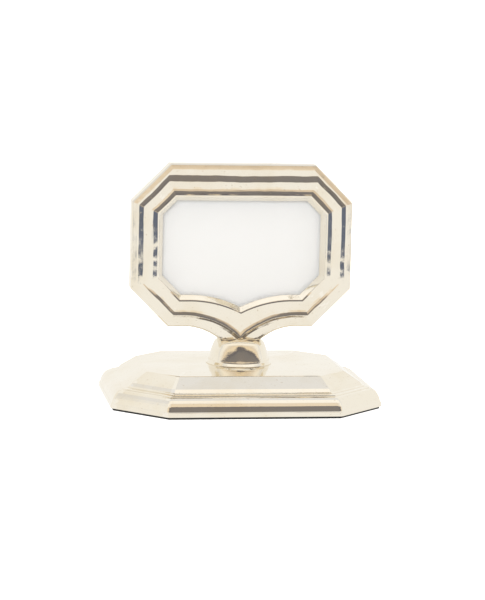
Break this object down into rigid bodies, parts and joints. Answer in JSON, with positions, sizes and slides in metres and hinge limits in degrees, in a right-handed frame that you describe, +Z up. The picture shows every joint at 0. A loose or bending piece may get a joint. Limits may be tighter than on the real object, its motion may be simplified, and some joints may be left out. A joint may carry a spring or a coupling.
{
  "type": "table number holder",
  "caption": "Free-standing table number holder: an octagonal moulded silver frame with a card window, on a bell collar and a stepped octagonal weighted base.",
  "frame": {"origin": "centre of the felt underside, on the table, under the middle of the base", "axes": "+X to the right along the base and the frame, +Y to the back (the number faces -Y), +Z up"},
  "size_m": [0.1142, 0.095, 0.1003],
  "materials": {
    "polished_silver": "polished silver plate over a sand-cast body, warm, slightly rippled",
    "clear_pane": "clear flat glass",
    "card": "plain uncoated card, blank",
    "greyboard": "dense grey board",
    "velvet": "short black velvet pile",
    "brass": "brushed brass",
    "zinc_plated_steel": "zinc plated",
    "black_felt": "pressed wool felt"
  },
  "bodies": {
    "holder": {"felt_pad": "black_felt", "base_plate": "zinc_plated_steel", "base_plate_screws": "zinc_plated_steel", "base_shell": "polished_silver", "collar": "polished_silver", "locating_pins": "zinc_plated_steel", "stem_screw": "zinc_plated_steel", "stem_washer": "zinc_plated_steel", "stem_lock_washer": "zinc_plated_steel", "frame_casting": "polished_silver", "window_pane": "clear_pane", "number_card": "card", "backing_board": "greyboard", "backing_velvet": "velvet", "turn_button_screws": "brass", "turn_button_washers": "brass"},
    "button_upper_right": {"turn_button_upper_right": "brass"},
    "button_upper_left": {"turn_button_upper_left": "brass"},
    "button_lower_right": {"turn_button_lower_right": "brass"},
    "button_lower_left": {"turn_button_lower_left": "brass"}
  },
  "joints": [
    {"name": "button_upper_right_turn", "type": "hinge", "parent": "holder", "child": "button_upper_right", "pos_m": [0.03716, 0.00535, 0.09041], "axis": [0, 1, 0], "continuous": true},
    {"name": "button_upper_left_turn", "type": "hinge", "parent": "holder", "child": "button_upper_left", "pos_m": [-0.03716, 0.00535, 0.09041], "axis": [0, 1, 0], "continuous": true},
    {"name": "button_lower_right_turn", "type": "hinge", "parent": "holder", "child": "button_lower_right", "pos_m": [0.03716, 0.00535, 0.04119], "axis": [0, 1, 0], "continuous": true},
    {"name": "button_lower_left_turn", "type": "hinge", "parent": "holder", "child": "button_lower_left", "pos_m": [-0.03716, 0.00535, 0.04119], "axis": [0, 1, 0], "continuous": true}
  ]
}
